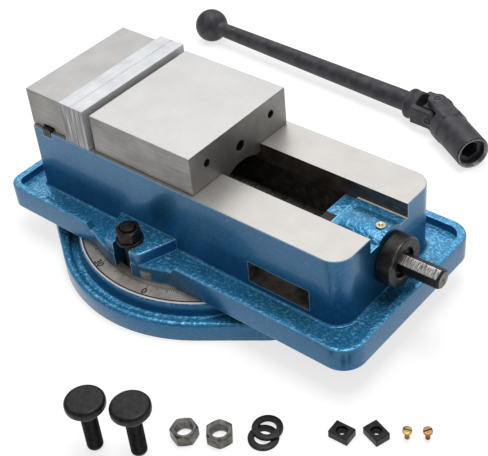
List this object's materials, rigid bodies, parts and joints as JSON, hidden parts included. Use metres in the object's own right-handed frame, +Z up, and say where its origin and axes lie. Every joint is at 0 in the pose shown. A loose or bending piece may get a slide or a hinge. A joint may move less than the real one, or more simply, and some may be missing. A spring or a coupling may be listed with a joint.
{
  "type": "swivel milling vise",
  "caption": "Lock-down machine vise on a graduated swivel base, with wide ground jaws, a screw and thrust bearing, a universal-joint crank handle and loose table fixings.",
  "frame": {"origin": "where the swivel axis meets the underside of the base, on the table", "axes": "+Z up along the swivel axis; +X along the screw, from the fixed jaw to the crank end, with the jaws drawn closed; +Y across the ways, away from the pointer side"},
  "size_m": [0.6679, 0.6701, 0.1837],
  "materials": {
    "hammered_paint": "blue hammered enamel on cast iron",
    "ground_iron": "surface-ground cast iron",
    "ground_steel": "ground hardened steel",
    "black_oxide": "black-oxide steel",
    "handle_black": "matte black-finished forging",
    "dark_steel": "oiled dark steel",
    "bright_steel": "machined steel",
    "bronze": "machined bronze",
    "brass": "turned brass"
  },
  "bodies": {
    "base": {"swivel_base": "hammered_paint", "centre_pivot": "bright_steel", "handle_rod": "handle_black", "table_bolt_1": "black_oxide", "table_bolt_2": "black_oxide", "table_nut_1": "dark_steel", "table_nut_2": "dark_steel", "table_washer_1": "black_oxide", "table_washer_2": "black_oxide", "slot_key_1": "black_oxide", "slot_key_2": "black_oxide", "key_screw_1": "brass", "key_screw_2": "brass"},
    "body": {"vise_body": "hammered_paint", "fixed_jaw": "ground_iron", "fixed_jaw_key": "dark_steel", "fixed_jaw_plate": "ground_steel", "fixed_jaw_bolt_near": "black_oxide", "fixed_jaw_bolt_far": "black_oxide", "fixed_plate_screw_near": "black_oxide", "fixed_plate_screw_far": "black_oxide", "screw_bushing": "bronze", "oiler_cup": "brass", "oiler_spring": "bright_steel", "thrust_race_front": "bright_steel", "clamp_stud_near": "black_oxide", "clamp_stud_far": "black_oxide", "clamp_washer_near": "black_oxide", "clamp_washer_far": "black_oxide"},
    "jaw": {"movable_jaw": "ground_iron", "movable_jaw_plate": "ground_steel", "movable_plate_screw_near": "black_oxide", "movable_plate_screw_far": "black_oxide", "half_ball": "bright_steel", "jaw_nut": "dark_steel", "jaw_set_screw": "black_oxide"},
    "screw": {"lead_screw": "dark_steel", "screw_collar": "black_oxide", "collar_set_screw": "black_oxide", "thrust_race_rear": "bright_steel"},
    "ball_cage": {"thrust_cage": "brass", "thrust_ball_1": "bright_steel", "thrust_ball_2": "bright_steel", "thrust_ball_3": "bright_steel", "thrust_ball_4": "bright_steel", "thrust_ball_5": "bright_steel", "thrust_ball_6": "bright_steel", "thrust_ball_7": "bright_steel", "thrust_ball_8": "bright_steel"},
    "oiler": {"oiler_ball": "bright_steel"},
    "nut_near": {"clamp_nut_near": "black_oxide"},
    "nut_far": {"clamp_nut_far": "black_oxide"},
    "cross": {"handle_cross": "handle_black", "handle_short_pin_near": "handle_black", "handle_short_pin_far": "handle_black", "handle_long_pin": "handle_black"},
    "socket": {"handle_socket": "handle_black"}
  },
  "joints": [
    {"name": "swivel", "type": "hinge", "parent": "base", "child": "body", "pos_m": [0, 0, 0.0327], "axis": [0, 0, 1], "continuous": true},
    {"name": "screw_spin", "type": "hinge", "parent": "body", "child": "screw", "pos_m": [0, 0, 0.09], "axis": [1, 0, 0], "range_deg": [0, 10973.8]},
    {"name": "jaw_slide", "type": "slide", "parent": "body", "child": "jaw", "axis": [1, 0, 0], "range_m": [0, 0.1524]},
    {"name": "cage_spin", "type": "hinge", "parent": "body", "child": "ball_cage", "pos_m": [0, 0, 0.09], "axis": [1, 0, 0], "range_deg": [0, 5487.4]},
    {"name": "oiler_press", "type": "slide", "parent": "body", "child": "oiler", "axis": [0, 0, -1], "range_m": [0, 0.0008], "stiffness_N_per_m": 400, "springref_m": -0.002},
    {"name": "clamp_nut_near_turn", "type": "hinge", "parent": "body", "child": "nut_near", "pos_m": [-0.012, -0.108, 0.08], "axis": [0, 0, 1], "continuous": true},
    {"name": "clamp_nut_far_turn", "type": "hinge", "parent": "body", "child": "nut_far", "pos_m": [-0.012, 0.108, 0.08], "axis": [0, 0, 1], "continuous": true},
    {"name": "handle_pitch", "type": "hinge", "parent": "base", "child": "cross", "pos_m": [0.0999, 0.3173, 0.023], "axis": [0.0419, 0.9991, 0], "range_deg": [-25, 0]},
    {"name": "handle_yaw", "type": "hinge", "parent": "cross", "child": "socket", "pos_m": [0.0999, 0.3173, 0.023], "axis": [0, 0, 1], "range_deg": [-1.2, 58.8]}
  ],
  "couplings": [
    {"joint": "screw_spin", "follows": "jaw_slide", "rad_per_m": 1256.6},
    {"joint": "cage_spin", "follows": "jaw_slide", "rad_per_m": 628.32}
  ]
}
